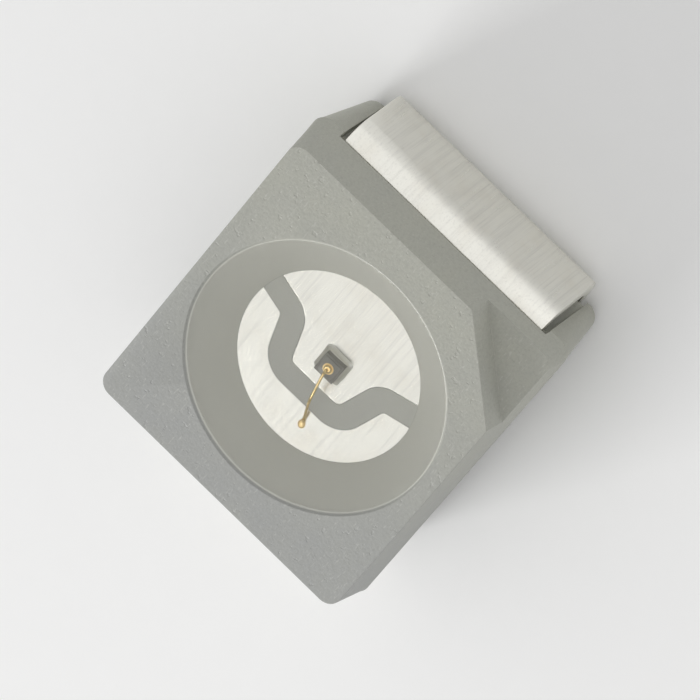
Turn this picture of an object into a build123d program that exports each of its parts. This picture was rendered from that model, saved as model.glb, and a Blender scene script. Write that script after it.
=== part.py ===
from build123d import *
from math import hypot, radians, sqrt, tan
import os

# Top-view surface-mount LED with two leads: a moulded housing with a reflector cup, a formed and
# plated lead frame, a chip with its wire, and a clear casting. Millimetres. The origin is the middle
# of the footprint on the board, +Z points up out of the cup, and +X points to the cathode end.

# The whole part
overall_length = 3.5  # over the outer faces of the two leads
overall_height = 1.4  # from the soles of the feet to the top face

# Housing
body_length = 3.2  # at the parting line, where the two halves of the mould meet
body_width = 2.8
body_corner_radius = 0.13  # upright corners, at the parting line
draft_angle = 6.7  # lean of every side wall away from the parting line, in degrees
body_standoff = 0.08  # underside of the housing above the soles
top_edge_round = 0.03

# Reflector cup
cup_depth = 0.41
cup_opening_diameter = 2.4
cup_floor_diameter = 1.68
cup_rim_round = 0.03

# Polarity mark, a corner cut away from the top on the cathode side
mark_along_x = 0.75  # legs of the cut, on the top face
mark_along_y = 0.73
mark_depth = 0.23

# Lead frame
lead_thickness = 0.15
lead_width = 2.2
lead_bend_radius = 0.1  # inside of each bend
foot_length = 0.85  # from the outer face of the lead
lead_side_gap = 0.05  # in the housing, each side of the lead
foot_gap = 0.02  # between the foot and the housing above it
foot_end_gap = 0.05
anchor_radius = 0.12  # bites in the strip's edges, which the moulding fills
anchor_from_middle = 1.2

# Gap between the two pads, as half of its middle line from the rim of the cup inwards
gap_width = 0.22
gap_mouth_x = 0.4  # where it leaves the strip
gap_shoulder_x = 0.14
gap_shoulder_y = 0.495
gap_shoulder_radius = 0.16
gap_nose_x = -0.335  # corner round the tongue that carries the chip
gap_nose_y = 0.355
gap_nose_radius = 0.19

# Chip
die_side = 0.2
die_height = 0.15
die_centre_x = 0.045
die_centre_y = -0.02
mesa_inset = 0.015  # step that the saw leaves round the top
mesa_height = 0.02
bond_pad_diameter = 0.1
bond_pad_thickness = 0.01
attach_bed = 0.015  # adhesive under the chip
attach_climb = 0.05  # how far it climbs up the chip's sides
attach_reach = 0.04  # how far it spreads past them
attach_crest = 0.0075  # its thickness where it ends on them

# Bond wire
wire_diameter = 0.025
ball_diameter = 0.076
ball_height = 0.03
loop_rise = 0.08  # straight neck above the ball
loop_fall = 0.03  # slope of the flat of the loop
loop_flat_share = 0.5  # of the span, before the wire turns down
loop_neck_radius = 0.06
loop_shoulder_radius = 0.15
stitch_centre_x = -0.6
stitch_centre_y = -0.135
stitch_length = 0.09
stitch_width = 0.07
stitch_thickness = 0.012

# Casting
meniscus_sag = 0.04

# Gate mark under the housing
gate_dimple_diameter = 0.7
gate_dimple_depth = 0.04
gate_stub_diameter = 0.3
gate_stub_height = 0.02

# Sizes that follow
half_length = overall_length / 2
lead_top = overall_height - cup_depth
lead_bottom = lead_top - lead_thickness
lead_inner_face = half_length - lead_thickness
bend_start = lead_inner_face - lead_bend_radius
parting_height = (lead_top + lead_bottom) / 2
upper_height = overall_height - parting_height
top_half_length = body_length / 2 - upper_height * tan(radians(draft_angle))
top_half_width = body_width / 2 - upper_height * tan(radians(draft_angle))
die_bottom = lead_top + attach_bed
die_top = die_bottom + die_height
bond_pad_top = die_top + bond_pad_thickness
die_place = (die_centre_x, die_centre_y)
stitch_place = (stitch_centre_x, stitch_centre_y)
clear_of_part = overall_length  # reach of a cutter that ends in the open air
standing = (Align.CENTER, Align.CENTER, Align.MIN)


def block(x, y, z):
    """A box between two limits on each axis."""
    size = [high - low for low, high in (x, y, z)]
    middle = [(high + low) / 2 for low, high in (x, y, z)]
    return Pos(*middle) * Box(*size)


def drafted_body():
    """Both halves of the housing, each leaning in from the parting line."""
    outline = Pos(0, 0, parting_height) * RectangleRounded(body_length, body_width, body_corner_radius)
    upper = extrude(outline, amount=upper_height, taper=draft_angle)
    lower = extrude(outline, amount=body_standoff - parting_height, taper=draft_angle)
    return upper + lower


def polarity_cut():
    """The space over the ledge at the marked corner, with a drafted wall."""
    along = Vector(mark_along_x, mark_along_y, 0).normalized()
    outward = Vector(along.Y, -along.X, 0) + Vector(0, 0, tan(radians(draft_angle)))
    middle = (top_half_length - mark_along_x / 2, mark_along_y / 2 - top_half_width, overall_height)
    wall = Plane(origin=middle, x_dir=along, z_dir=outward)
    beyond = extrude(wall * Rectangle(clear_of_part, clear_of_part), amount=clear_of_part)
    reach = (-clear_of_part, clear_of_part)
    above_ledge = block(reach, reach, (overall_height - mark_depth, clear_of_part))
    return beyond & above_ledge


def lead_reliefs():
    """Slots that let the leads come down inside the outline and fold under the housing."""
    side = lead_width / 2 + lead_side_gap
    width = (-side, side)
    slots = []
    for end in (1, -1):
        down = sorted((end * bend_start, end * clear_of_part))
        under = sorted((end * (half_length - foot_length - foot_end_gap), end * clear_of_part))
        slots.append(block(down, width, (-clear_of_part, lead_top)))
        slots.append(block(under, width, (-clear_of_part, lead_thickness + foot_gap)))
    return slots


def gate_mark():
    """The dimple in the underside where the mould was filled, round the stub of the gate."""
    dimple = Cylinder(gate_dimple_diameter / 2, gate_dimple_depth, align=standing)
    roof = Pos(0, 0, gate_dimple_depth - gate_stub_height)
    stub = roof * Cylinder(gate_stub_diameter / 2, gate_stub_height, align=standing)
    return Pos(0, 0, body_standoff) * (dimple - stub)


def cup_space():
    """The cone of the reflector, up to the top face."""
    cone = Cone(cup_floor_diameter / 2, cup_opening_diameter / 2, cup_depth, align=standing)
    return Pos(0, 0, lead_top) * cone


def pad_gap():
    """The S-curved cut that parts the strip into the two pads."""
    half = [
        (gap_mouth_x, body_width / 2),
        (gap_shoulder_x, gap_shoulder_y),
        (gap_nose_x, gap_nose_y),
    ]
    other_half = [(x, -y) for x, y in reversed(half)]
    radii = [gap_shoulder_radius, gap_nose_radius, gap_nose_radius, gap_shoulder_radius]
    middle_line = FilletPolyline(*half, *other_half, radius=radii)
    band = trace(middle_line, line_width=gap_width)
    return extrude(Pos(0, 0, lead_bottom) * band, amount=lead_thickness)


def formed_strip():
    """The whole lead frame before the pads are parted: flat in the cup, bent down and folded under."""
    side_view = [
        (0, lead_top),
        (half_length, lead_top),
        (half_length, 0),
        (half_length - foot_length, 0),
        (half_length - foot_length, lead_thickness),
        (lead_inner_face, lead_thickness),
        (lead_inner_face, lead_bottom),
        (0, lead_bottom),
    ]
    half = make_face(Polyline(*side_view, close=True))
    outside = half.vertices().filter_by(lambda corner: corner.X > lead_inner_face + lead_thickness / 2)
    half = fillet(outside, lead_bend_radius + lead_thickness)
    inside = half.vertices().filter_by(lambda corner: abs(corner.X - lead_inner_face) < lead_thickness / 10)
    half = fillet(inside, lead_bend_radius)
    whole = Plane.XZ * (half + mirror(half, about=Plane.YZ))
    return extrude(whole, amount=lead_width / 2, both=True)


def anchor_bites():
    """Half-round bites in both edges of the strip, inside the walls of the housing."""
    places = [
        (x, y, parting_height)
        for x in (-anchor_from_middle, anchor_from_middle)
        for y in (-lead_width / 2, lead_width / 2)
    ]
    return [Pos(*place) * Cylinder(anchor_radius, lead_thickness) for place in places]


def make_leads():
    """The two leads, anode first."""
    parted = formed_strip() - pad_gap() - anchor_bites()
    anode, cathode = parted.solids().sort_by(Axis.X)
    return anode, cathode


def make_housing(leads):
    body = drafted_body() - cup_space() - polarity_cut()
    flat_top = body.faces().sort_by(Axis.Z)[-1]
    body = fillet(flat_top.outer_wire().edges(), top_edge_round)
    rim = body.edges().filter_by(GeomType.CIRCLE).filter_by(
        lambda edge: abs(edge.radius - cup_opening_diameter / 2) < cup_rim_round / 10
    )
    body = fillet(rim, cup_rim_round)
    return body - lead_reliefs() - gate_mark() - list(leads)


def make_die():
    """Sawn chip with a mesa step round its top."""
    base = extrude(Rectangle(die_side, die_side), amount=die_height - mesa_height)
    mesa_side = die_side - 2 * mesa_inset
    mesa = Pos(0, 0, die_height - mesa_height) * extrude(Rectangle(mesa_side, mesa_side), amount=mesa_height)
    return Pos(*die_place, die_bottom) * (base + mesa)


def make_bond_pad():
    disc = extrude(Circle(bond_pad_diameter / 2), amount=bond_pad_thickness)
    return Pos(*die_place, die_top) * disc


def make_attach(die):
    """Adhesive bed with a fillet that climbs the sides of the chip."""
    spread_side = die_side + 2 * attach_reach
    foot = RectangleRounded(spread_side, spread_side, attach_reach)
    crest_side = die_side + 2 * attach_crest
    crest = Pos(0, 0, attach_bed + attach_climb) * RectangleRounded(crest_side, crest_side, attach_crest)
    bed = loft([foot.face(), crest.face()])
    return Pos(*die_place, lead_top) * bed - die


def make_wire():
    """One gold wire: a ball squashed on the chip, a loop over the gap, and a stitch on the far pad."""
    run_x = stitch_centre_x - die_centre_x
    run_y = stitch_centre_y - die_centre_y
    span = hypot(run_x, run_y)
    side_view = Plane(origin=(*die_place, lead_top), x_dir=(run_x, run_y, 0), z_dir=(run_y, -run_x, 0))
    ball_base = bond_pad_top - lead_top
    neck_top = ball_base + ball_height + loop_rise
    route = FilletPolyline(
        (0, ball_base + ball_height / 2),
        (0, neck_top),
        (loop_flat_share * span, neck_top - loop_fall),
        (span, wire_diameter / 4),
        radius=[loop_neck_radius, loop_shoulder_radius],
    )
    route = side_view * route
    start = Plane(origin=route @ 0, z_dir=route % 0)
    wire = sweep(start * Circle(wire_diameter / 2), path=route)

    squashed = Cylinder(ball_diameter, ball_height)
    ball = Pos(*die_place, bond_pad_top + ball_height / 2) * (Sphere(ball_diameter / 2) & squashed)

    tail = Plane(origin=(*stitch_place, lead_top), x_dir=(run_x, run_y, 0), z_dir=(0, 0, 1))
    stitch = extrude(tail * Ellipse(stitch_length / 2, stitch_width / 2), amount=stitch_thickness)

    reach = (-clear_of_part, clear_of_part)
    return (wire + ball + stitch) & block(reach, reach, (lead_top, overall_height))


def make_encapsulant(held):
    """Clear casting that fills the cup to a shallow meniscus, round all that is in it."""
    wetted = cup_depth - cup_rim_round
    lean = (cup_opening_diameter - cup_floor_diameter) / 2 / cup_depth
    edge_radius = cup_floor_diameter / 2 + lean * wetted
    lowest = (0, wetted - meniscus_sag)
    dish_radius = (edge_radius**2 + meniscus_sag**2) / (2 * meniscus_sag)
    dish_centre = lowest[1] + dish_radius
    halfway = (edge_radius / 2, dish_centre - sqrt(dish_radius**2 - edge_radius**2 / 4))
    outline = (
        Line((0, 0), (cup_floor_diameter / 2, 0))
        + Line((cup_floor_diameter / 2, 0), (edge_radius, wetted))
        + ThreePointArc((edge_radius, wetted), halfway, lowest)
        + Line(lowest, (0, 0))
    )
    fill = revolve(Plane.XZ * make_face(outline), Axis.Z)
    return Pos(0, 0, lead_top) * fill - held


anode_lead, cathode_lead = make_leads()
led_die = make_die()
die_bond_pad = make_bond_pad()
die_attach = make_attach(led_die)
bond_wire = make_wire()

parts = {
    "housing": make_housing((anode_lead, cathode_lead)),
    "anode_lead": anode_lead,
    "cathode_lead": cathode_lead,
    "die_attach": die_attach,
    "led_die": led_die,
    "die_bond_pad": die_bond_pad,
    "bond_wire": bond_wire,
    "encapsulant": make_encapsulant([die_attach, led_die, die_bond_pad, bond_wire]),
}

os.makedirs("parts", exist_ok=True)
for name, shape in parts.items():
    export_step(shape, f"parts/{name}.step")
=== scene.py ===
import bpy
import math
from mathutils import Matrix, Vector


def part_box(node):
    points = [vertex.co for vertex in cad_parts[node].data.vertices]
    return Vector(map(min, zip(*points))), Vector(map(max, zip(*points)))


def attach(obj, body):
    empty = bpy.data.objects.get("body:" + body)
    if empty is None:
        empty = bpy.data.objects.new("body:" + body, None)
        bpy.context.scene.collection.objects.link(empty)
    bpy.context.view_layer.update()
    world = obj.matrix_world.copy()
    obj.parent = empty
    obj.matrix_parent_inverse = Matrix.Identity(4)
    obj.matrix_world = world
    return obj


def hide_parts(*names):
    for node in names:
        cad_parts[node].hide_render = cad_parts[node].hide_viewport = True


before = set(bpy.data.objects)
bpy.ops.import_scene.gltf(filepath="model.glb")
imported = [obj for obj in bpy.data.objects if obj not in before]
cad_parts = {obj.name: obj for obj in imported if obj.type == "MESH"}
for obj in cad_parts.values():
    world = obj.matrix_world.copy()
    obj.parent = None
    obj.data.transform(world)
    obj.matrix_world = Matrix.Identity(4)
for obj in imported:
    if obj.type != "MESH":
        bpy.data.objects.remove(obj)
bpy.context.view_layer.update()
mm = 0.001
micron = 0.000001
rootBody = "root"

# what every piece is set out from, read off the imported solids
housingLow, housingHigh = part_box("housing")
_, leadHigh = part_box("cathode_lead")
_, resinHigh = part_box("encapsulant")
padLow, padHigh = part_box("die_bond_pad")
dieLow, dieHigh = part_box("led_die")
pasteLow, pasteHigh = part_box("die_attach")
topFace = housingHigh.z
leadTop = leadHigh.z
dieMiddle = (dieLow + dieHigh) / 2
farOut = 2 * leadHigh.x      # well past the part, for the cutters

strip = {
    "thickness": 0.15 * mm,
    "bendRadius": 0.1 * mm,      # inside of each bend
    "footLength": 0.85 * mm,     # from the lead's outer face
    "bendSteps": 12,
    "edgeRound": 0.012 * mm,     # stamped edges are never quite sharp
    "anchorRadius": 0.12 * mm,   # bites that the moulding grips
    "anchorPlace": 1.2 * mm,
    "anchorSides": 48,
    "padReach": 0.7 * mm,        # how far each blank runs past the middle before the gap is cut
    "gapWidth": 0.22 * mm,
    "gapLine": [(0.4, 1.4), (0.14, 0.495), (-0.335, 0.355)],   # millimetres, rim to tongue
    "gapRadii": [0.16, 0.19],
    "gapSteps": 14,
    "cutMargin": 0.2,            # of the thickness, above and below, for the cutter of the gap
}
stripBottom = leadTop - strip["thickness"]
stripHalfWidth = leadHigh.y
leadInner = leadHigh.x - strip["thickness"]
bendStart = leadInner - strip["bendRadius"]
partingHeight = (leadTop + stripBottom) / 2


# picking and shaping, as by hand

squareOn = 0.99              # a face whose normal is this square to an axis faces along it
nearPlane = 0.1 * micron     # a point this near to a cutting plane lies on it
weldGap = 0.05 * micron      # points this near to each other are one


def clearSelection():
    if bpy.context.object and bpy.context.object.mode != "OBJECT":
        bpy.ops.object.mode_set(mode="OBJECT")
    bpy.ops.object.select_all(action="DESELECT")


def makeActive(piece):
    clearSelection()
    piece.select_set(True)
    bpy.context.view_layer.objects.active = piece


def pickNothing(piece):
    bpy.ops.object.mode_set(mode="OBJECT")
    for group in (piece.data.polygons, piece.data.edges, piece.data.vertices):
        group.foreach_set("select", [False] * len(group))


def editPicked(kind):
    bpy.context.tool_settings.mesh_select_mode = [kind == k for k in ("VERT", "EDGE", "FACE")]
    bpy.ops.object.mode_set(mode="EDIT")


def pickFaces(piece, wanted):
    pickNothing(piece)
    for face in piece.data.polygons:
        face.select = wanted(face.center, face.normal)
    editPicked("FACE")


def pickEdges(piece, wanted):
    pickNothing(piece)
    points = piece.data.vertices
    for edge in piece.data.edges:
        edge.select = wanted(*(points[i].co for i in edge.vertices))
    editPicked("EDGE")


def pickPoints(piece, wanted):
    pickNothing(piece)
    for point in piece.data.vertices:
        point.select = wanted(point.co)
    editPicked("VERT")


def dropEdges(piece, unwanted):
    # keeps what is picked, less the edges at these places
    bpy.ops.object.mode_set(mode="OBJECT")
    points = piece.data.vertices
    kept = [e.index for e in piece.data.edges
            if e.select and not unwanted(*(points[i].co for i in e.vertices))]
    pickNothing(piece)
    for index in kept:
        piece.data.edges[index].select = True
    editPicked("EDGE")


def freshEdit(piece):
    makeActive(piece)
    bpy.ops.object.mode_set(mode="EDIT")
    bpy.ops.mesh.select_all(action="SELECT")


def addBlock(name, low, high):
    # a block between two corners, with its place in its mesh
    clearSelection()
    low, high = Vector(low), Vector(high)
    bpy.ops.mesh.primitive_cube_add(size=1, location=(low + high) / 2, scale=high - low)
    return settle(bpy.context.object, name)


def addCone(name, lowRadius, highRadius, lowZ, highZ, sides, centre=(0, 0)):
    clearSelection()
    bpy.ops.mesh.primitive_cone_add(
        vertices=sides, radius1=lowRadius, radius2=highRadius, depth=highZ - lowZ,
        location=(*centre, (lowZ + highZ) / 2))
    return settle(bpy.context.object, name)


def growPicked(rise, widen=1, middle=(0, 0, 0)):
    # extrudes what is picked straight up or down, then widens it about a middle
    bpy.ops.mesh.extrude_region_move(TRANSFORM_OT_translate={"value": (0, 0, rise)})
    bpy.ops.transform.resize(value=(widen, widen, 1), center_override=middle)


def settle(piece, name):
    # the object goes to the origin and its place goes into the mesh
    makeActive(piece)
    bpy.ops.object.transform_apply(location=True, rotation=True, scale=True)
    piece.name = name
    piece.data.name = name
    return piece


def applyModifier(piece, kind, **settings):
    makeActive(piece)
    modifier = piece.modifiers.new(kind.title(), kind)
    for key, value in settings.items():
        setattr(modifier, key, value)
    bpy.ops.object.modifier_apply(modifier=modifier.name)


def carve(piece, *cutters, operation="DIFFERENCE"):
    for cutter in cutters:
        applyModifier(piece, "BOOLEAN", object=cutter, operation=operation, solver="EXACT")
        bpy.data.objects.remove(cutter)


def mendMesh(piece):
    freshEdit(piece)
    bpy.ops.mesh.remove_doubles(threshold=weldGap)
    bpy.ops.mesh.normals_make_consistent(inside=False)
    bpy.ops.object.mode_set(mode="OBJECT")


def roundEdges(piece, width, steps, sharpness=30, spared=None):
    # rounds every edge sharper than the angle, apart from the spared ones
    makeActive(piece)
    pickNothing(piece)
    bpy.ops.object.mode_set(mode="EDIT")
    bpy.ops.mesh.select_mode(type="EDGE")
    bpy.ops.mesh.edges_select_sharp(sharpness=math.radians(sharpness))
    if spared:
        dropEdges(piece, spared)
    bpy.ops.mesh.bevel(offset=width, segments=steps, affect="EDGES", clamp_overlap=True)
    bpy.ops.object.mode_set(mode="OBJECT")


def smoothOff(piece, angle=35):
    makeActive(piece)
    bpy.ops.object.shade_smooth_by_angle(angle=math.radians(angle))
    applyModifier(piece, "WEIGHTED_NORMAL", keep_sharp=True, weight=60)


def finishPiece(piece, node, look):
    piece.data.materials.clear()
    piece.data.materials.append(look)
    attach(piece, rootBody)
    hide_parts(node)
    print("made", piece.name, len(piece.data.polygons), "faces")


def roundedLine(points, radii, steps):
    # places and left-hand normals along a line of straight runs and tangent arcs
    places = [Vector(points[0])]
    for corner, radius in zip(range(1, len(points) - 1), radii):
        here = Vector(points[corner])
        back = (Vector(points[corner - 1]) - here).normalized()
        ahead = (Vector(points[corner + 1]) - here).normalized()
        halfTurn = back.angle(ahead) / 2
        middle = here + (back + ahead).normalized() * radius / math.sin(halfTurn)
        first = here + back * radius / math.tan(halfTurn) - middle
        sweep = first.angle_signed(here + ahead * radius / math.tan(halfTurn) - middle)
        for step in range(steps + 1):
            places.append(middle + Matrix.Rotation(-sweep * step / steps, 2) @ first)
    places.append(Vector(points[-1]))
    normals = []
    for i, place in enumerate(places):
        along = places[min(i + 1, len(places) - 1)] - places[max(i - 1, 0)]
        normals.append(Vector((-along.y, along.x)).normalized())
    return places, normals


# shader maths: a socket that can be added, multiplied and so on

class Signal:
    def __init__(self, tree, socket=None):
        self.tree = tree
        self.socket = socket

    def node(self, kind, settings=None, inputs=None, output=0):
        made = self.tree.nodes.new(kind)
        for key, value in (settings or {}).items():
            setattr(made, key, value)
        for key, value in (inputs or {}).items():
            if isinstance(value, Signal):
                self.tree.links.new(value.socket, made.inputs[key])
            else:
                made.inputs[key].default_value = value
        return Signal(self.tree, made.outputs[output])

    def maths(self, operation, *values):
        return self.node("ShaderNodeMath", {"operation": operation}, dict(enumerate(values)))

    def __add__(self, other):
        return self.maths("ADD", self, other)

    def __sub__(self, other):
        return self.maths("SUBTRACT", self, other)

    def __rsub__(self, other):
        return self.maths("SUBTRACT", other, self)

    def __mul__(self, other):
        return self.maths("MULTIPLY", self, other)

    __radd__ = __add__
    __rmul__ = __mul__

    def magnitude(self):
        return self.maths("ABSOLUTE", self)

    def root(self):
        return self.maths("SQRT", self)

    def between(self, low, high):
        # 0 below low, 1 above high, and a soft step between
        return self.node("ShaderNodeMapRange", {"interpolation_type": "SMOOTHSTEP"},
                         {"Value": self, "From Min": low, "From Max": high})

    def past(self, place, fade):
        # 0 before a place and 1 after it, and the fade says where the soft step lies about it
        return self.between(place + fade[0], place + fade[1])


class Finish(Signal):
    # one material: its coordinates, its shader and its bumps

    def __init__(self, name, **constants):
        self.material = bpy.data.materials.new(name)
        self.material.use_nodes = True
        super().__init__(self.material.node_tree)
        self.shader = self.tree.nodes["Principled BSDF"]
        for key, value in constants.items():
            self.shader.inputs[key.replace("_", " ")].default_value = value
        self.place = self.node("ShaderNodeTexCoord", output="Object")
        self.bumped = None

    def axis(self, letter):
        return self.node("ShaderNodeSeparateXYZ", None, {"Vector": self.place}, output=letter)

    def noise(self, size, stretch=(1, 1, 1), detail=3.0, roughness=0.55, shift=(0, 0, 0)):
        # size is the grain's width in metres, stretch makes it longer along an axis, and
        # shift moves the pattern so that two of them don't fall on each other
        scale = [1 / (size * s) for s in stretch]
        placed = {"Vector": self.place, "Location": shift, "Scale": scale}
        at = self.node("ShaderNodeMapping", None, placed)
        grain = {"Vector": at, "Scale": 1.0, "Detail": detail, "Roughness": roughness}
        return self.node("ShaderNodeTexNoise", None, grain, output="Fac")

    def mixColour(self, share, first, second):
        # a colour mix takes its colours at sockets 6 and 7 and gives the result at output 2
        sockets = {0: share, 6: first, 7: second}
        return self.node("ShaderNodeMix", {"data_type": "RGBA"}, sockets, output=2)

    def bump(self, height, distance, strength=1.0):
        links = {"Height": height, "Distance": distance, "Strength": strength}
        if self.bumped:
            links["Normal"] = self.bumped
        self.bumped = self.node("ShaderNodeBump", None, links, output="Normal")

    def send(self, **sockets):
        for key, value in sockets.items():
            self.tree.links.new(value.socket, self.shader.inputs[key.replace("_", " ")])
        if self.bumped:
            self.tree.links.new(self.bumped.socket, self.shader.inputs["Normal"])
        return self.material


# finishes

def mouldedPlastic():
    look = {
        # colours, and how strongly each of them shows
        "cool": (0.352, 0.358, 0.350, 1), "warm": (0.430, 0.432, 0.374, 1),    # painted shading: darker and cooler at the anode end, lighter and warmer at the cathode end
        "paintedShadeShare": 0.75, "cloudShare": 0.5, "coolShare": 0.12,
        "filler": (0.62, 0.62, 0.58, 1), "fillerShare": 0.3,
        # painted shade colour for the hollows of the spark texture
        "hollowShadeColour": (0.25, 0.25, 0.225, 1), "hollowShadeShare": 0.22,
        # painted light: the paler cup colour lifts the shade inside the cup
        "reflector": (0.668, 0.668, 0.61, 1), "reflectorShare": 0.9, "gapShare": 0.6,
        # roughness, and how much of the spark texture the cup has lost
        "rough": 0.42, "sparkRough": 0.25, "cupShine": 0.15, "gateRough": 0.15, "polish": 0.7,
        # grain widths, bump depths and the part of each noise that counts
        "cloud": 380 * micron,
        "spark": 24 * micron, "sparkDepth": 4.5 * micron, "sparkRange": (0.3, 0.6),
        "pits": 60 * micron, "pitDepth": 5 * micron, "pitRange": (0.28, 0.36),
        "sink": 900 * micron, "sinkDepth": 12 * micron, "tornGate": 22 * micron,
        "fillerSize": 11 * micron, "fillerLength": 6, "fillerRange": (0.64, 0.72),
        # where each place starts and ends
        "rimFade": (-5 * micron, 15 * micron), "wallFade": (0, 9 * micron),
        "floorFade": (-8 * micron, -6 * micron), "topFade": (-26 * micron, -12 * micron),
        "gateFade": 1.1, "gateHeight": (0.2 * mm, 0.3 * mm),
    }
    paint = Finish("moulded_plastic", Specular_IOR_Level=0.35)
    x, y, z = (paint.axis(letter) for letter in "XYZ")
    radius = (x * x + y * y).root()
    gateRadius = housing["gate"][1]
    # the cup is smoother than the rest, and painted paler as painted light against the shade inside
    # it, less so in the gap between the pads
    overPads = z.past(leadTop, look["wallFade"]) * (1 - look["gapShare"]) + look["gapShare"]
    inCup = (1 - radius.past(housing["cupRimRadius"], look["rimFade"])) * overPads
    inCup = inCup * z.past(leadTop, look["floorFade"])
    inCup = inCup * (1 - z.past(topFace, look["topFade"]))
    onGate = (1 - radius.between(gateRadius, gateRadius * look["gateFade"])) \
        * (1 - z.between(*look["gateHeight"]))
    cloud = paint.noise(look["cloud"], detail=4.0)
    spark = paint.noise(look["spark"], detail=4.0, roughness=0.62)
    pits = 1 - paint.noise(look["pits"], detail=2.0, shift=(5, 2, 9)).between(*look["pitRange"])
    filler = paint.noise(look["fillerSize"], stretch=(look["fillerLength"], 1, 1), detail=1.0)
    torn = paint.noise(look["tornGate"], detail=5.0, roughness=0.7)
    sink = paint.noise(look["sink"], detail=1.0)
    matt = 1 - inCup * look["polish"]
    # painted shading: the body runs from the darker cool colour at the anode end to the lighter warm
    # one at the cathode end, with random cloud tone on top
    paintedShadeAlongPart = x.between(housingLow.x, housingHigh.x)
    share = paintedShadeAlongPart * look["paintedShadeShare"] + cloud * look["cloudShare"] - look["coolShare"]
    body = paint.mixColour(share, look["cool"], look["warm"])
    fibres = filler.between(*look["fillerRange"]) * look["fillerShare"] * (1 - inCup)
    body = paint.mixColour(fibres, body, look["filler"])
    # painted shade: the hollows of the spark texture are painted darker, less so in the smoother cup
    paintedHollowShade = (1 - spark.between(*look["sparkRange"])) * look["hollowShadeShare"] * matt
    body = paint.mixColour(paintedHollowShade, body, look["hollowShadeColour"])
    # painted light: the cup is painted paler against the shade inside it
    body = paint.mixColour(inCup * look["reflectorShare"], body, look["reflector"])
    paint.bump(sink, look["sinkDepth"], strength=0.6)
    paint.bump(spark * matt, look["sparkDepth"], strength=0.8)
    paint.bump(1 - pits * (1 - inCup), look["pitDepth"], strength=0.5)
    paint.bump(torn * onGate, look["tornGate"], strength=0.8)
    rough = spark * look["sparkRough"] + look["rough"] - inCup * look["cupShine"] \
        + onGate * look["gateRough"]
    return paint.send(Base_Color=body, Roughness=rough)


def silverPlate():
    look = {
        # colours, how strongly each of them shows and the part of its noise that counts
        "silver": (0.825, 0.815, 0.755, 1),
        "tarnish": (0.66, 0.61, 0.51, 1), "tarnishShare": 0.35, "patchRange": (0.42, 0.8),
        "shade": (0.56, 0.55, 0.515, 1), "streakShare": 0.25, "streakRange": (0.25, 0.55),
        "drawnShare": 0.3, "drawnRange": (0.5, 0.75),
        "copper": (0.83, 0.46, 0.30, 1), "copperShare": 0.85,
        # roughness
        "rough": 0.1, "rollingRough": 0.10, "grainRough": 0.06, "streakRough": 0.08,
        "drawnRough": 0.2, "bareRough": 0.2, "shearedRough": 0.12,
        # grain widths, how much longer they are one way, and bump depths
        "rolling": 7 * micron, "streak": 34 * micron, "alongStrip": 30, "rollingDepth": 0.7 * micron,
        "grain": 12 * micron, "grainDepth": 0.8 * micron,
        "orangePeel": 55 * micron, "peelDepth": 1.2 * micron, "patch": 420 * micron,
        "score": 8 * micron, "acrossCut": 12, "scoreDepth": 3 * micron,
        "drawn": 18 * micron, "roundBend": 40,
        # where each place starts and ends
        "tipFade": (3 * micron, 8 * micron), "soleFade": 1.1,
        "sideFade": (-4 * micron, -2 * micron), "topFade": (-5 * micron, 0),
    }
    paint = Finish("silver_plate", Metallic=1.0)
    # rolling lines follow the strip round its bends
    along = (look["alongStrip"], 1, look["alongStrip"])
    rolling = paint.noise(look["rolling"], stretch=along, detail=3.0)
    streak = paint.noise(look["streak"], stretch=along, detail=4.0, shift=(1, 7, 3))
    grain = paint.noise(look["grain"], detail=3.0, shift=(3, 1, 2))
    peel = paint.noise(look["orangePeel"], detail=2.0, shift=(8, 4, 1))
    patch = paint.noise(look["patch"], detail=4.0)
    x, y, z = (paint.axis(letter) for letter in "XYZ")
    across = x.magnitude()
    # the strip was cut to length after plating, so the tips of the feet show the copper
    tipPlace = leadHigh.x - strip["footLength"]
    bare = (1 - (across - tipPlace).magnitude().between(*look["tipFade"])) \
        * (1 - z.between(strip["thickness"], strip["thickness"] * look["soleFade"]))
    # the sheared sides are scored through their thickness, and the forming tool dulls the bends
    sheared = y.magnitude().past(stripHalfWidth, look["sideFade"])
    score = paint.noise(look["score"], stretch=(1, 1, look["acrossCut"]), detail=3.0, shift=(2, 2, 5))
    bend = across.between(bendStart, leadInner) * (1 - z.past(leadTop, look["topFade"]))
    drawn = bend * paint.noise(look["drawn"], stretch=(1, 1, look["roundBend"]), detail=3.0,
                               shift=(6, 1, 2))
    tarnished = patch.between(*look["patchRange"]) * look["tarnishShare"]
    colour = paint.mixColour(tarnished, look["silver"], look["tarnish"])
    streaked = (1 - streak.between(*look["streakRange"])) * look["streakShare"]
    colour = paint.mixColour(streaked, colour, look["shade"])
    dulled = drawn.between(*look["drawnRange"]) * look["drawnShare"]
    colour = paint.mixColour(dulled, colour, look["shade"])
    colour = paint.mixColour(bare * look["copperShare"], colour, look["copper"])
    paint.bump(peel, look["peelDepth"], strength=0.5)
    paint.bump(rolling, look["rollingDepth"], strength=0.6)
    paint.bump(grain, look["grainDepth"], strength=0.4)
    paint.bump(score * sheared, look["scoreDepth"], strength=0.7)
    rough = rolling * look["rollingRough"] + grain * look["grainRough"] \
        + streak * look["streakRough"] + drawn * look["drawnRough"] \
        + bare * look["bareRough"] + sheared * look["shearedRough"] + look["rough"]
    return paint.send(Base_Color=colour, Roughness=rough)


def silverPaste():
    look = {
        "resin": (0.80, 0.79, 0.74, 1), "flake": (0.93, 0.92, 0.875, 1),
        "flakeSize": 6 * micron, "flakeDepth": 2.5 * micron, "flakeRange": (0.4, 0.65),
        "rough": 0.24, "flakeRough": 0.22,
    }
    paint = Finish("silver_paste", Metallic=0.9)
    flake = paint.noise(look["flakeSize"], detail=2.0)
    colour = paint.mixColour(flake.between(*look["flakeRange"]), look["resin"], look["flake"])
    paint.bump(flake, look["flakeDepth"])
    return paint.send(Base_Color=colour, Roughness=flake * look["flakeRough"] + look["rough"])


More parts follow.
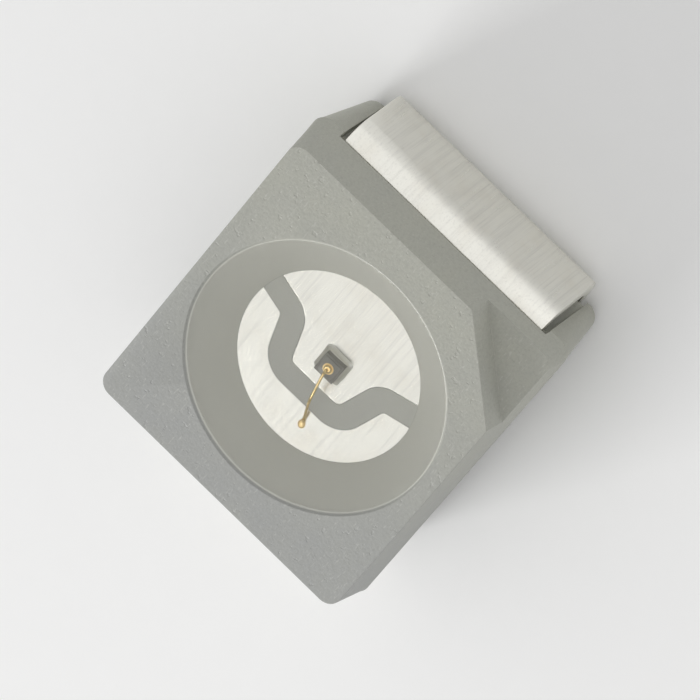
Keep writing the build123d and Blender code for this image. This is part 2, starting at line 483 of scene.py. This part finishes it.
def chipCrystal():
    look = {
        "crystal": (0.225, 0.217, 0.19, 1), "edge": (0.31, 0.30, 0.26, 1),
        "cloudShare": 0.35, "edgeShare": 0.3, "cloud": 40 * micron,
        "saw": 3 * micron, "sawLength": 20, "sawDepth": 1.5 * micron,
        "rough": 0.28, "sideRough": 0.25, "sawRough": 0.08,
        "topFade": (-24 * micron, -16 * micron),
    }
    paint = Finish("chip_crystal", Specular_IOR_Level=0.7)
    sawn = paint.noise(look["saw"], stretch=(look["sawLength"], look["sawLength"], 1), detail=3.0)
    cloud = paint.noise(look["cloud"], detail=3.0)
    onSide = 1 - paint.axis("Z").past(dieHigh.z, look["topFade"])
    share = cloud * look["cloudShare"] + onSide * look["edgeShare"]
    colour = paint.mixColour(share, look["crystal"], look["edge"])
    paint.bump(sawn * onSide, look["sawDepth"])
    rough = onSide * look["sideRough"] + sawn * look["sawRough"] + look["rough"]
    return paint.send(Base_Color=colour, Roughness=rough)


def brightGold(name, dull):
    look = {
        "deep": (0.95, 0.70, 0.33, 1), "pale": (1.0, 0.80, 0.45, 1),
        "grain": 5 * micron, "grainDepth": 0.5 * micron, "grainRough": 0.12,
        "pressedRough": 0.3, "pressedFade": (7 * micron, 16 * micron),
    }
    paint = Finish(name, Metallic=1.0)
    grain = paint.noise(look["grain"], detail=3.0)
    colour = paint.mixColour(grain, look["deep"], look["pale"])
    # the tool leaves the stitch on the far pad duller than drawn wire
    pressed = 1 - paint.axis("Z").past(leadTop, look["pressedFade"])
    paint.bump(grain, look["grainDepth"], strength=0.6)
    rough = grain * look["grainRough"] + pressed * look["pressedRough"] + dull
    return paint.send(Base_Color=colour, Roughness=rough)


def clearResin():
    look = {
        "thick": (0.985, 0.985, 0.97, 1), "thin": (1.0, 1.0, 0.99, 1),
        "swell": 350 * micron, "swellDepth": 4 * micron,
        "dust": 22 * micron, "dustRange": (0.7, 0.78), "rough": 0.012, "dustRough": 0.12,
    }
    paint = Finish("clear_resin", Transmission_Weight=1.0, IOR=1.5)
    swell = paint.noise(look["swell"], detail=2.0)
    dust = paint.noise(look["dust"], detail=2.0).between(*look["dustRange"])
    tint = paint.mixColour(swell, look["thick"], look["thin"])
    paint.bump(swell, look["swellDepth"], strength=0.5)
    return paint.send(Base_Color=tint, Roughness=dust * look["dustRough"] + look["rough"])


# the two leads

def gapEdge(side):
    # the edge of the cut on this side of the gap, from rim to rim
    line = strip["gapLine"]
    radii = strip["gapRadii"]
    both = line + [(x, -y) for x, y in reversed(line)]
    places, normals = roundedLine(both, radii + radii[::-1], strip["gapSteps"])
    offset = side * strip["gapWidth"] / 2 / mm
    return [(p + n * offset) * mm for p, n in zip(places, normals)]


def gapCutter(side):
    # all of the strip beyond one edge of the S-curved gap
    edge = gapEdge(side)
    outline = edge + [Vector((-side * farOut, edge[-1].y)), Vector((-side * farOut, edge[0].y))]
    mesh = bpy.data.meshes.new("gapCutter")
    margin = strip["thickness"] * strip["cutMargin"]
    mesh.from_pydata([(p.x, p.y, stripBottom - margin) for p in outline], [], [range(len(outline))])
    cutter = bpy.data.objects.new("gapCutter", mesh)
    bpy.context.scene.collection.objects.link(cutter)
    freshEdit(cutter)
    bpy.ops.mesh.extrude_region_move(
        TRANSFORM_OT_translate={"value": (0, 0, strip["thickness"] + 2 * margin)})
    mendMesh(cutter)
    return cutter


def pickEnd(piece, axis, place):
    # the flat end of the strip at this place along an axis
    pickFaces(piece, lambda c, n: abs(n[axis]) > squareOn and abs(c[axis] - place) < micron)


def makeLead(name, side):
    # flat pad first, then bent down and folded under with two quarter spins
    ends = sorted((-side * strip["padReach"], side * bendStart))
    lead = addBlock(name, (ends[0], -stripHalfWidth, stripBottom), (ends[1], stripHalfWidth, leadTop))
    radius = strip["bendRadius"]
    quarter = -side * math.pi / 2      # the spin turns left-handed about its axis
    pickEnd(lead, 0, side * bendStart)
    bpy.ops.mesh.spin(steps=strip["bendSteps"], angle=quarter,
                      center=(side * bendStart, 0, stripBottom - radius), axis=(0, 1, 0))
    lowerBend = strip["thickness"] + radius
    drop = stripBottom - radius - lowerBend
    pickEnd(lead, 2, stripBottom - radius)
    bpy.ops.mesh.extrude_region_move(TRANSFORM_OT_translate={"value": (0, 0, -drop)})
    pickEnd(lead, 2, lowerBend)
    bpy.ops.mesh.spin(steps=strip["bendSteps"], angle=quarter,
                      center=(side * (leadInner - radius), 0, lowerBend), axis=(0, 1, 0))
    footRun = leadInner - radius - (leadHigh.x - strip["footLength"])
    pickFaces(lead, lambda c, n: abs(n.x) > squareOn and c.z < strip["thickness"]
              and abs(c.x) < bendStart + micron)
    bpy.ops.mesh.extrude_region_move(TRANSFORM_OT_translate={"value": (-side * footRun, 0, 0)})
    mendMesh(lead)
    carve(lead, gapCutter(side))
    biteRadius = strip["anchorRadius"]
    clear = 0.1 * mm      # the cutter runs this far past the strip
    for y in (-stripHalfWidth, stripHalfWidth):
        carve(lead, addCone("bite", biteRadius, biteRadius, stripBottom - clear, leadTop + clear,
                            strip["anchorSides"], (side * strip["anchorPlace"], y)))
    mendMesh(lead)
    return lead


# the moulded housing

housing = {
    "draft": math.radians(6.7),
    "cornerRadius": 0.13 * mm,
    "cornerSteps": 8,
    "edgeRound": 0.028 * mm,
    "edgeSteps": 4,
    "flash": (4 * micron, 7 * micron),   # height and half width of the line where the mould parted
    "cupFloorRadius": 0.84 * mm,
    "cupRimRadius": 1.2 * mm,
    "cupSides": 160,
    "gapSink": 4 * micron,        # the plastic between the pads has shrunk a little
    "markLegs": (0.75 * mm, 0.73 * mm),
    "markDepth": 0.23 * mm,
    "leadSideGap": 0.05 * mm,
    "footGap": 0.02 * mm,
    "footEndGap": 0.05 * mm,
    "gate": (0.35 * mm, 0.15 * mm, 0.04 * mm, 0.02 * mm),   # dimple's and stub's radius, depth, height
    "gateSides": (64, 40),        # dimple and stub
    "nearby": 0.1 * mm,           # for picking: longer than any rounding, shorter than any form
    "cutAbove": 0.2 * mm,         # how far the cutters run past the body
    "cutBelow": 0.5 * mm,
}


def cupRadius(z):
    share = (z - leadTop) / (topFace - leadTop)
    return housing["cupFloorRadius"] + share * (housing["cupRimRadius"] - housing["cupFloorRadius"])


def taperedBlank():
    # a block with the mould's parting line round it, leaning in above and below
    flash = Vector((housing["flash"][0], housing["flash"][0], 0))
    blank = addBlock("housing_moulding", housingLow + flash, housingHigh - flash)
    freshEdit(blank)
    bpy.ops.mesh.bisect(plane_co=(0, 0, partingHeight), plane_no=(0, 0, 1), threshold=nearPlane)
    for level in (topFace, housingLow.z):
        pulledIn = abs(level - partingHeight) * math.tan(housing["draft"])
        pickFaces(blank, lambda c, n: abs(c.z - level) < micron)
        smaller = (1 - pulledIn / housingHigh.x, 1 - pulledIn / housingHigh.y, 1)
        bpy.ops.transform.resize(value=smaller, center_override=(0, 0, level))
    pickEdges(blank, lambda a, b: abs(a.z - b.z) > housing["nearby"])
    bpy.ops.mesh.bevel(offset=housing["cornerRadius"], segments=housing["cornerSteps"],
                       affect="EDGES", clamp_overlap=False)
    mendMesh(blank)
    return blank


def raiseFlash(body):
    # a hair of plastic stands out where the two halves of the mould met
    height, halfWidth = housing["flash"]
    wallX, wallY = housingHigh.x - height, housingHigh.y - height
    for level in (partingHeight - halfWidth, partingHeight + halfWidth):
        freshEdit(body)
        bpy.ops.mesh.bisect(plane_co=(0, 0, level), plane_no=(0, 0, 1), threshold=nearPlane)
    pickPoints(body, lambda p: abs(p.z - partingHeight) < micron and
               (abs(p.x) > bendStart + height or abs(p.y) > stripHalfWidth + housing["nearby"]))
    bpy.ops.transform.resize(value=(housingHigh.x / wallX, housingHigh.y / wallY, 1),
                             center_override=(0, 0, partingHeight))
    bpy.ops.object.mode_set(mode="OBJECT")


def markCutter():
    # the space above the ledge, cut off along the drafted wall of the polarity corner
    ledge = topFace - housing["markDepth"]
    lead = (topFace - partingHeight) * math.tan(housing["draft"])
    legX, legY = housing["markLegs"]
    cornerX, cornerY = housingHigh.x - lead, housingLow.y + lead
    cutter = addBlock("markCutter", (0, -farOut, ledge), (farOut, 0, topFace + mm))
    along = Vector((legX, legY, 0)).normalized()
    outward = Vector((along.y, -along.x, math.tan(housing["draft"])))
    freshEdit(cutter)
    bpy.ops.mesh.bisect(plane_co=(cornerX - legX, cornerY, topFace), plane_no=outward, use_fill=True,
                        clear_inner=True, threshold=nearPlane)
    mendMesh(cutter)
    return cutter


def makeHousing(leads):
    body = taperedBlank()
    floor = leadTop - housing["gapSink"]
    above = topFace + housing["cutAbove"]
    carve(body, addCone("cup", cupRadius(floor), cupRadius(above), floor, above, housing["cupSides"]))
    carve(body, markCutter())
    halfSlot = stripHalfWidth + housing["leadSideGap"]
    below = -housing["cutBelow"]
    for side in (1, -1):
        down = sorted((side * bendStart, side * farOut))
        carve(body, addBlock("relief", (down[0], -halfSlot, below), (down[1], halfSlot, leadTop)))
        footEnd = leadHigh.x - strip["footLength"] - housing["footEndGap"]
        under = sorted((side * footEnd, side * farOut))
        carve(body, addBlock("footSlot", (under[0], -halfSlot, below),
                             (under[1], halfSlot, strip["thickness"] + housing["footGap"])))
    dimpleRadius, stubRadius, depth, stubHeight = housing["gate"]
    dimpleSides, stubSides = housing["gateSides"]
    roof = housingLow.z + depth
    dimple = addCone("dimple", dimpleRadius, dimpleRadius, below, roof, dimpleSides)
    carve(dimple, addCone("stub", stubRadius, stubRadius, roof - stubHeight, roof + mm, stubSides))
    carve(body, dimple)
    for lead in leads:
        slot = lead.copy()
        slot.data = lead.data.copy()
        bpy.context.scene.collection.objects.link(slot)
        carve(body, slot)
    mendMesh(body)

    def spared(a, b):
        # the foot of the cup wall and the slots round the strip stay sharp
        middle = (a + b) / 2
        withinRim = middle.xy.length < housing["cupRimRadius"] - housing["nearby"]
        withinStrip = abs(middle.y) < stripHalfWidth + micron
        inCup = withinRim and middle.z > stripBottom - micron
        inSlot = withinStrip and stripBottom - micron < middle.z < leadTop + micron
        return inCup or inSlot

    roundEdges(body, housing["edgeRound"], housing["edgeSteps"], spared=spared)
    raiseFlash(body)
    smoothOff(body)
    return body


# the casting

def makeResin():
    shape = {"sides": 160, "rings": 10, "overlap": 5 * micron, "sag": 0.04 * mm}
    low = leadTop - 2 * housing["gapSink"]
    high = resinHigh.z
    foot = cupRadius(low) + shape["overlap"]
    edge = cupRadius(high) + shape["overlap"]
    resin = addCone("clear_casting", foot, edge, low, high, shape["sides"])
    dish = (edge ** 2 + shape["sag"] ** 2) / (2 * shape["sag"])
    drop = 0
    pickFaces(resin, lambda c, n: n.z > squareOn)
    for ring in range(1, shape["rings"]):
        radius = edge * (1 - ring / shape["rings"])
        bpy.ops.mesh.inset(thickness=edge / shape["rings"], depth=0)
        sunk = shape["sag"] - (dish - math.sqrt(dish ** 2 - radius ** 2))
        bpy.ops.transform.translate(value=(0, 0, drop - sunk))
        drop = sunk
    bpy.ops.mesh.poke()
    mendMesh(resin)
    bpy.ops.object.shade_smooth_by_angle(angle=math.radians(30))
    return resin


# the chip, its metal contact and the bed that it sits in

def makeChip():
    chip = {"ledge": 0.015 * mm, "mesa": 0.02 * mm, "slope": 0.004 * mm, "edge": 1.2 * micron}
    die = addBlock("chip", dieLow, (dieHigh.x, dieHigh.y, dieHigh.z - chip["mesa"]))
    pickFaces(die, lambda c, n: n.z > squareOn)
    bpy.ops.mesh.inset(thickness=chip["ledge"], depth=0)
    growPicked(chip["mesa"], 1 - chip["slope"] / (dieHigh.x - dieMiddle.x), dieMiddle)
    bpy.ops.object.mode_set(mode="OBJECT")
    roundEdges(die, chip["edge"], steps=2)
    smoothOff(die)
    return die


def makeContact():
    contact = {"sides": 48, "edge": 2 * micron, "rim": 8 * micron, "dip": 1.5 * micron}
    radius = (padHigh.x - padLow.x) / 2
    disc = addCone("chip_contact", radius, radius, padLow.z, padHigh.z, contact["sides"],
                   (dieMiddle.x, dieMiddle.y))
    pickFaces(disc, lambda c, n: n.z > squareOn)
    bpy.ops.mesh.inset(thickness=contact["rim"], depth=0)
    bpy.ops.mesh.inset(thickness=contact["dip"], depth=-contact["dip"])
    bpy.ops.object.mode_set(mode="OBJECT")
    roundEdges(disc, contact["edge"], steps=2, sharpness=60)
    smoothOff(disc)
    return disc


def makePaste():
    # silver epoxy that has crept out from under the chip and up its sides
    paste = {
        "corner": 0.04 * mm, "cornerSteps": 8, "sunk": 3 * micron, "waves": 0.1 * mm,
        "unevenness": 16 * micron, "levels": 2,
        "creep": [(0.97, 0.05), (0.84, 0.11), (0.62, 0.2), (0.4, 0.36), (0.22, 0.62), (0.09, 1.0)],
    }
    halfBed, halfDie = pasteHigh.x - dieMiddle.x, dieHigh.x - dieMiddle.x
    reach, climb = halfBed - halfDie, pasteHigh.z - leadTop
    bed = addBlock("chip_paste", (pasteLow.x, pasteLow.y, leadTop - paste["sunk"]),
                   (pasteHigh.x, pasteHigh.y, leadTop))
    pickEdges(bed, lambda a, b: abs(a.z - b.z) > paste["sunk"] / 2)
    bpy.ops.mesh.bevel(offset=paste["corner"], segments=paste["cornerSteps"], affect="EDGES",
                       clamp_overlap=False)
    bpy.ops.object.mode_set(mode="OBJECT")
    pickFaces(bed, lambda c, n: n.z > squareOn)
    half, height = halfBed, 0
    for share, level in paste["creep"]:       # shares of the reach past the chip and of the climb
        wider = halfDie + share * reach
        growPicked((level - height) * climb, wider / half, dieMiddle)
        half, height = wider, level
    bpy.ops.object.mode_set(mode="OBJECT")
    waves = bpy.data.textures.new("paste_waves", "CLOUDS")
    waves.noise_scale = paste["waves"]
    applyModifier(bed, "SUBSURF", levels=paste["levels"], render_levels=paste["levels"])
    applyModifier(bed, "DISPLACE", texture=waves, texture_coords="LOCAL",
                  strength=paste["unevenness"])
    makeActive(bed)
    bpy.ops.object.shade_smooth()
    return bed


# the bond wire

def makeWire():
    loop = {
        "radius": 0.0125 * mm, "sides": 16, "bendSteps": 10,
        "ball": (0.038 * mm, 0.03 * mm),               # radius and height
        "ballStretch": 1.25, "ballSides": (32, 20),    # the sphere is taller than the ball cut from it
        "stitch": (-0.6 * mm, -0.135 * mm), "stitchHalf": (0.042 * mm, 0.035 * mm, 0.006 * mm),
        "stitchSides": (32, 16),
        "rise": 0.08, "fall": 0.03, "radii": [0.06, 0.15, 0.05],    # millimetres, for the bends too
        "flatShare": 0.5,                              # of the span, from the ball to the second bend
        "tailRun": 0.05, "tailPast": 0.015,            # millimetres, short of and past the stitch
        "tailHeights": (0.8, 0.6),                     # of the radius, at those two places
        "tailWider": 2.4, "tailLower": 0.3, "tailReach": 0.09 * mm, "tailCuts": 9,
        "tailPick": 1.5,                               # of the radius, about the tip
    }
    start = Vector(((padLow.x + padHigh.x) / 2, (padLow.y + padHigh.y) / 2))
    run = Vector(loop["stitch"]) - start
    span = run.length / mm
    heading = run.normalized()
    ballRadius, ballHeight = loop["ball"]
    base = (padHigh.z - leadTop) / mm
    neck = base + ballHeight / mm + loop["rise"]
    landing, ending = (loop["radius"] / mm * share for share in loop["tailHeights"])
    corners = [(0, base + ballHeight / mm / 2), (0, neck),
               (loop["flatShare"] * span, neck - loop["fall"]),
               (span - loop["tailRun"], landing), (span + loop["tailPast"], ending)]
    places, _ = roundedLine(corners, loop["radii"], loop["bendSteps"])
    clearSelection()
    bpy.ops.curve.primitive_bezier_curve_add()
    curve = bpy.context.object
    curve.data.splines.clear()
    spline = curve.data.splines.new("POLY")
    spline.points.add(len(places) - 1)
    for point, place in zip(spline.points, places):
        level = start + heading * place.x * mm
        point.co = (level.x, level.y, leadTop + place.y * mm, 1)
    curve.data.dimensions = "3D"
    curve.data.bevel_depth = loop["radius"]
    curve.data.bevel_resolution = loop["sides"] // 4
    curve.data.use_fill_caps = True
    bpy.ops.object.convert(target="MESH")
    wire = settle(bpy.context.object, "gold_wire")
    mendMesh(wire)
    # the tool presses the tail flat and wide
    reach = loop["tailReach"]
    tip = Vector((*(start + heading * (span + loop["tailPast"]) * mm), leadTop))
    for cut in range(1, loop["tailCuts"] + 1):
        place = tip - Vector((*heading, 0)) * (reach * cut / loop["tailCuts"])
        freshEdit(wire)
        bpy.ops.mesh.bisect(plane_co=place, plane_no=(*heading, 0), threshold=0.01 * micron)
    pickPoints(wire, lambda p: (p.xy - tip.xy).length < loop["tailPick"] * loop["radius"])
    across = (Vector((*heading, 0)), Vector((-heading.y, heading.x, 0)), Vector((0, 0, 1)))
    bpy.ops.transform.resize(
        value=(1, loop["tailWider"], loop["tailLower"]), center_override=tip, orient_type="GLOBAL",
        orient_matrix=across, orient_matrix_type="GLOBAL", use_proportional_edit=True,
        proportional_edit_falloff="SMOOTH", proportional_size=reach)
    bpy.ops.object.mode_set(mode="OBJECT")
    # the squashed ball on the chip
    clearSelection()
    around, rings = loop["ballSides"]
    bpy.ops.mesh.primitive_uv_sphere_add(segments=around, ring_count=rings, radius=ballRadius,
                                         location=(*start, padHigh.z + ballHeight / 2))
    ball = bpy.context.object
    ball.scale.z = ballHeight / 2 / ballRadius * loop["ballStretch"]
    settle(ball, "ball")
    freshEdit(ball)
    for level, up in ((padHigh.z, -1), (padHigh.z + ballHeight, 1)):
        bpy.ops.mesh.select_all(action="SELECT")
        bpy.ops.mesh.bisect(plane_co=(*start, level), plane_no=(0, 0, up), use_fill=True,
                            clear_outer=True, threshold=nearPlane)
    mendMesh(ball)
    # the stitch, pressed out flat on the far pad
    clearSelection()
    around, rings = loop["stitchSides"]
    bpy.ops.mesh.primitive_uv_sphere_add(
        segments=around, ring_count=rings, radius=1, location=(*loop["stitch"], leadTop),
        rotation=(0, 0, math.atan2(heading.y, heading.x)), scale=loop["stitchHalf"])
    stitch = settle(bpy.context.object, "stitch")
    carve(wire, ball, stitch, operation="UNION")
    freshEdit(wire)
    bpy.ops.mesh.bisect(plane_co=(0, 0, leadTop), plane_no=(0, 0, -1), use_fill=True,
                        clear_outer=True, threshold=nearPlane)
    mendMesh(wire)
    makeActive(wire)
    bpy.ops.object.shade_smooth_by_angle(angle=math.radians(50))
    return wire


# put together

plastic = mouldedPlastic()
silver = silverPlate()
anode = makeLead("anode_strip", -1)
cathode = makeLead("cathode_strip", 1)
body = makeHousing((anode, cathode))
for lead in (anode, cathode):
    roundEdges(lead, strip["edgeRound"], steps=2, sharpness=40)
    smoothOff(lead)
finishPiece(body, "housing", plastic)
finishPiece(anode, "anode_lead", silver)
finishPiece(cathode, "cathode_lead", silver)
finishPiece(makeResin(), "encapsulant", clearResin())
finishPiece(makeWire(), "bond_wire", brightGold("wire_gold", dull=0.16))
finishPiece(makePaste(), "die_attach", silverPaste())
finishPiece(makeChip(), "led_die", chipCrystal())
finishPiece(makeContact(), "die_bond_pad", brightGold("contact_gold", dull=0.3))


# floor, light and camera

studio = {
    "floorHalf": 0.25, "floorColour": (0.93, 0.93, 0.925, 1), "floorShade": (0.9, 0.9, 0.895, 1),
    "floorGrain": 300 * micron, "shadeShare": 0.5,
    "floorDrop": 2 * micron,     # just clear of the soles, so that they don't flicker against it
    "ambient": 0.67, "backdrop": 1.0, "skyColour": (1, 1, 1, 1),
    "keySize": 0.032, "keyPlace": (-0.075, 0.0173, 0.0235), "keyPower": 0.047,
    "fillSize": 0.06, "fillPlace": (0.05, -0.05, 0.045), "fillPower": 0.002,
}


def addFloor():
    clearSelection()
    bpy.ops.mesh.primitive_plane_add(size=2 * studio["floorHalf"],
                                     location=(0, 0, -studio["floorDrop"]))
    floor = settle(bpy.context.object, "floor")
    paint = Finish("pale_floor", Roughness=0.9, Specular_IOR_Level=0.1)
    grain = paint.noise(studio["floorGrain"], detail=3.0)
    colour = paint.mixColour(grain * studio["shadeShare"],
                             studio["floorColour"], studio["floorShade"])
    floor.data.materials.append(paint.send(Base_Color=colour))


def addSoftbox(name, size, place, power):
    light = bpy.data.lights.new(name, "AREA")
    light.size = size
    light.energy = power
    lamp = bpy.data.objects.new(name, light)
    bpy.context.scene.collection.objects.link(lamp)
    lamp.location = place
    lamp.rotation_euler = (-Vector(place)).to_track_quat("-Z", "Y").to_euler()


def addSky():
    world = bpy.data.worlds.new("studio")
    bpy.context.scene.world = world
    world.use_nodes = True
    sky = Signal(world.node_tree)
    seen = sky.node("ShaderNodeLightPath", output="Is Camera Ray")
    mirrored = sky.node("ShaderNodeLightPath", output="Is Glossy Ray")
    through = sky.node("ShaderNodeLightPath", output="Is Transmission Ray")
    shown = sky.maths("MAXIMUM", sky.maths("MAXIMUM", seen, mirrored), through)
    strength = shown * (studio["backdrop"] - studio["ambient"]) + studio["ambient"]
    shader = world.node_tree.nodes["Background"]
    world.node_tree.links.new(strength.socket, shader.inputs["Strength"])
    shader.inputs["Color"].default_value = studio["skyColour"]


def addCamera():
    # the photograph's viewing direction and roll, and closer
    view = {
        "right": (0.535, -0.715, -0.449), "back": (0.561, -0.097, 0.822),
        "lens": 400, "frameWidth": 5.7 * mm, "aim": (0.0, 0.0, 0.75 * mm),
        "clipNear": 0.05, "clipFar": 5,      # a share of the distance, and metres
    }
    back = Vector(view["back"]).normalized()
    right = (Vector(view["right"]) - back * back.dot(Vector(view["right"]))).normalized()
    up = back.cross(right)
    eye = bpy.data.cameras.new("camera")
    eye.lens = view["lens"]
    distance = view["frameWidth"] * eye.lens / eye.sensor_width
    eye.clip_start = distance * view["clipNear"]
    eye.clip_end = view["clipFar"]
    camera = bpy.data.objects.new("camera", eye)
    bpy.context.scene.collection.objects.link(camera)
    place = Vector(view["aim"]) + back * distance
    turn = Matrix((right, up, back)).transposed().to_4x4()
    camera.matrix_world = Matrix.Translation(place) @ turn
    bpy.context.scene.camera = camera


addFloor()
addSoftbox("key", studio["keySize"], studio["keyPlace"], studio["keyPower"])
addSoftbox("fill", studio["fillSize"], studio["fillPlace"], studio["fillPower"])
addSky()
addCamera()
bpy.context.scene.view_settings.view_transform = "Standard"
print("set the studio")
